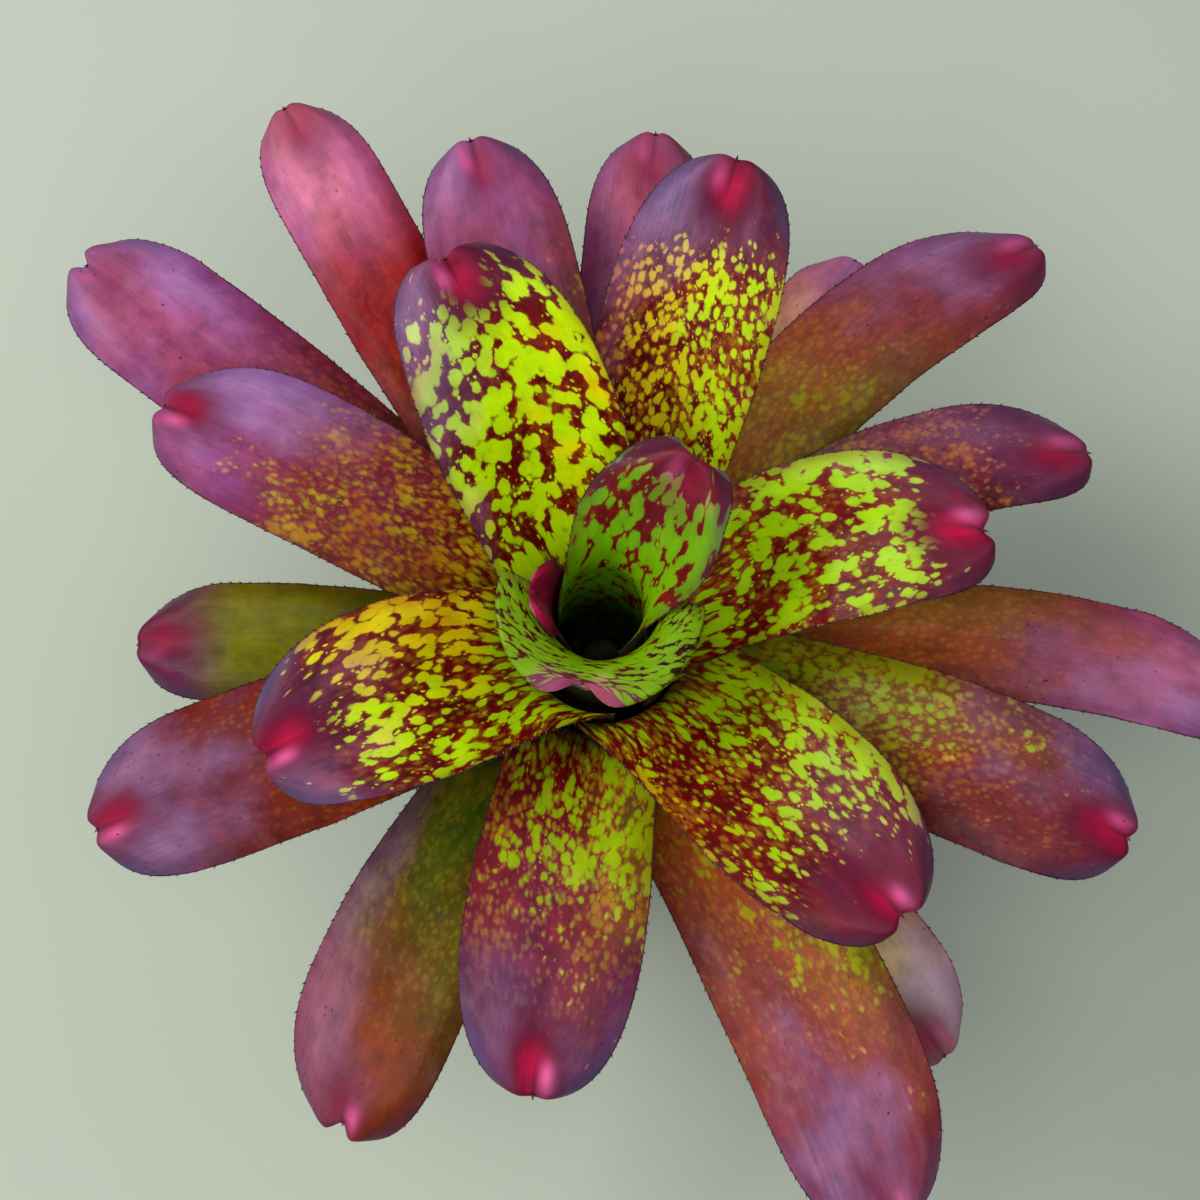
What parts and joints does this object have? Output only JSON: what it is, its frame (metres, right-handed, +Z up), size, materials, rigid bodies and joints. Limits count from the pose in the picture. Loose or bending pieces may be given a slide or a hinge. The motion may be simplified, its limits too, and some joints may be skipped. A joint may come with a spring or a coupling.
{
  "type": "neoregelia bromeliad in a pot",
  "caption": "Spotted bromeliad: strap leaves with toothed edges nest into an urn round an open tube, on a short stem in a plain round pot of soil.",
  "frame": {"origin": "middle of the pot's underside", "axes": "+Z up along the pot's and the rosette's axis; the camera of the reference view stands towards -Y, and azimuth 0 is +X"},
  "size_m": [0.3133, 0.2933, 0.2099],
  "materials": {
    "leaf_young": "satin",
    "leaf_grown": "satin",
    "leaf_old": "satin",
    "stem": "matt",
    "soil": "rough",
    "pot": "matt"
  },
  "bodies": {
    "root": {"leaf_01_tube": "leaf_young", "leaf_02_tube": "leaf_young", "leaf_03_tube": "leaf_young", "leaf_04_young": "leaf_young", "leaf_05_young": "leaf_young", "leaf_06_young": "leaf_young", "leaf_07_young": "leaf_young", "leaf_08_young": "leaf_young", "leaf_09_young": "leaf_young", "leaf_10_grown": "leaf_grown", "leaf_11_grown": "leaf_grown", "leaf_12_grown": "leaf_grown", "leaf_13_grown": "leaf_grown", "leaf_14_grown": "leaf_grown", "leaf_15_grown": "leaf_grown", "leaf_16_old": "leaf_old", "leaf_17_old": "leaf_old", "leaf_18_old": "leaf_old", "leaf_19_old": "leaf_old", "leaf_20_old": "leaf_old", "leaf_21_old": "leaf_old", "leaf_22_old": "leaf_old", "leaf_23_old": "leaf_old", "leaf_24_old": "leaf_old", "stem": "stem", "soil": "soil", "pot": "pot"}
  },
  "joints": []
}
